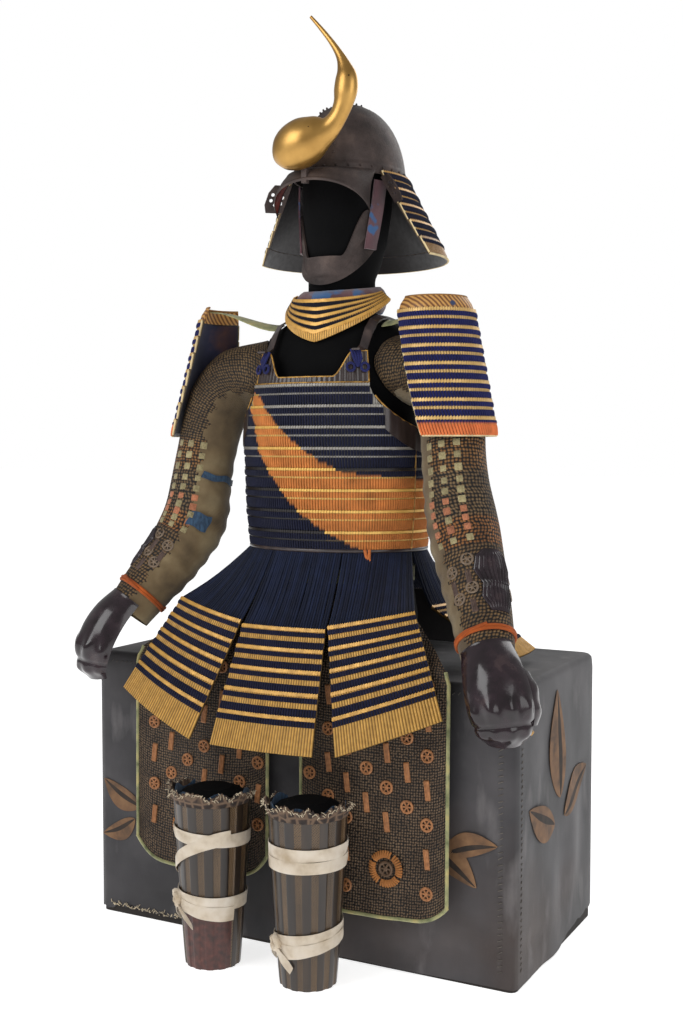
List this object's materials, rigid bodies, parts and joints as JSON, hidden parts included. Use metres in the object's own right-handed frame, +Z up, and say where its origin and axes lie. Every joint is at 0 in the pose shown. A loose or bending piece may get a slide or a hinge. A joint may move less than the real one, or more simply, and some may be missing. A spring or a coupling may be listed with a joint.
{
  "type": "samurai armour on a covered trunk and display form",
  "caption": "Laced samurai armour with a crested helmet, seated on its canvas-covered trunk round a limbless black form, with shin guards standing in front.",
  "frame": {"origin": "middle of the trunk's underside, on the floor", "axes": "+Z up, -Y the way the armour faces, +X the wearer's left"},
  "size_m": [0.8778, 0.6387, 1.5957],
  "materials": {
    "canvas": "oiled, mottled canvas",
    "carcass_wood": "plain dark wood",
    "form_cloth": "matt black cloth",
    "russet_iron": "russet patinated iron",
    "gold_lacquer": "worn gold lacquer",
    "navy_lacing": "silk lacing over lacquered lames",
    "brown_lacquer": "glossy dark brown lacquer on hide",
    "wool": "felted wool",
    "mail": "iron mail and small plates on cloth",
    "brocade": "woven brocade",
    "orange_silk": "braided silk",
    "splint_leather": "lacquered splints and torn leather",
    "cotton": "plain cotton band"
  },
  "bodies": {
    "root": {"back_plate": "brown_lacquer", "chest_plate": "brown_lacquer", "chin_mask": "russet_iron", "chin_strap_left": "wool", "chin_strap_right": "wool", "collar_roll": "wool", "crest_gourd": "gold_lacquer", "cuirass_back": "navy_lacing", "cuirass_front": "navy_lacing", "forearm_plate_left": "brown_lacquer", "forearm_plate_right": "brown_lacquer", "form_head": "form_cloth", "form_torso": "form_cloth", "guard_crown_left": "brown_lacquer", "guard_crown_right": "brown_lacquer", "guard_tie_left": "brocade", "guard_tie_right": "brocade", "hand_plate_left": "brown_lacquer", "hand_plate_right": "brown_lacquer", "helmet_bowl": "russet_iron", "helmet_peak": "russet_iron", "knee_flap_left": "splint_leather", "knee_flap_right": "splint_leather", "neck_guard": "navy_lacing", "shin_guard_left": "splint_leather", "shin_guard_right": "splint_leather", "shin_post_left": "form_cloth", "shin_post_right": "form_cloth", "shin_tie_lower_left": "cotton", "shin_tie_lower_right": "cotton", "shin_tie_upper_left": "cotton", "shin_tie_upper_right": "cotton", "shoulder_guard_left": "navy_lacing", "shoulder_guard_right": "navy_lacing", "shoulder_strap_left": "brown_lacquer", "shoulder_strap_right": "brown_lacquer", "sleeve_left": "mail", "sleeve_right": "mail", "tasset_back_left": "navy_lacing", "tasset_back_right": "navy_lacing", "tasset_front_left": "navy_lacing", "tasset_front_middle": "navy_lacing", "tasset_front_right": "navy_lacing", "tasset_side_left": "navy_lacing", "tasset_side_right": "navy_lacing", "thigh_band": "brocade", "thigh_panel_left": "mail", "thigh_panel_right": "mail", "throat_guard": "gold_lacquer", "thumb_plate_left": "brown_lacquer", "thumb_plate_right": "brown_lacquer", "trunk_carcass": "carcass_wood", "trunk_cover": "canvas", "turnback_left": "russet_iron", "turnback_right": "russet_iron", "underarm_plate_left": "brown_lacquer", "underarm_plate_right": "brown_lacquer", "wrist_cord_left": "orange_silk", "wrist_cord_right": "orange_silk"}
  },
  "joints": []
}
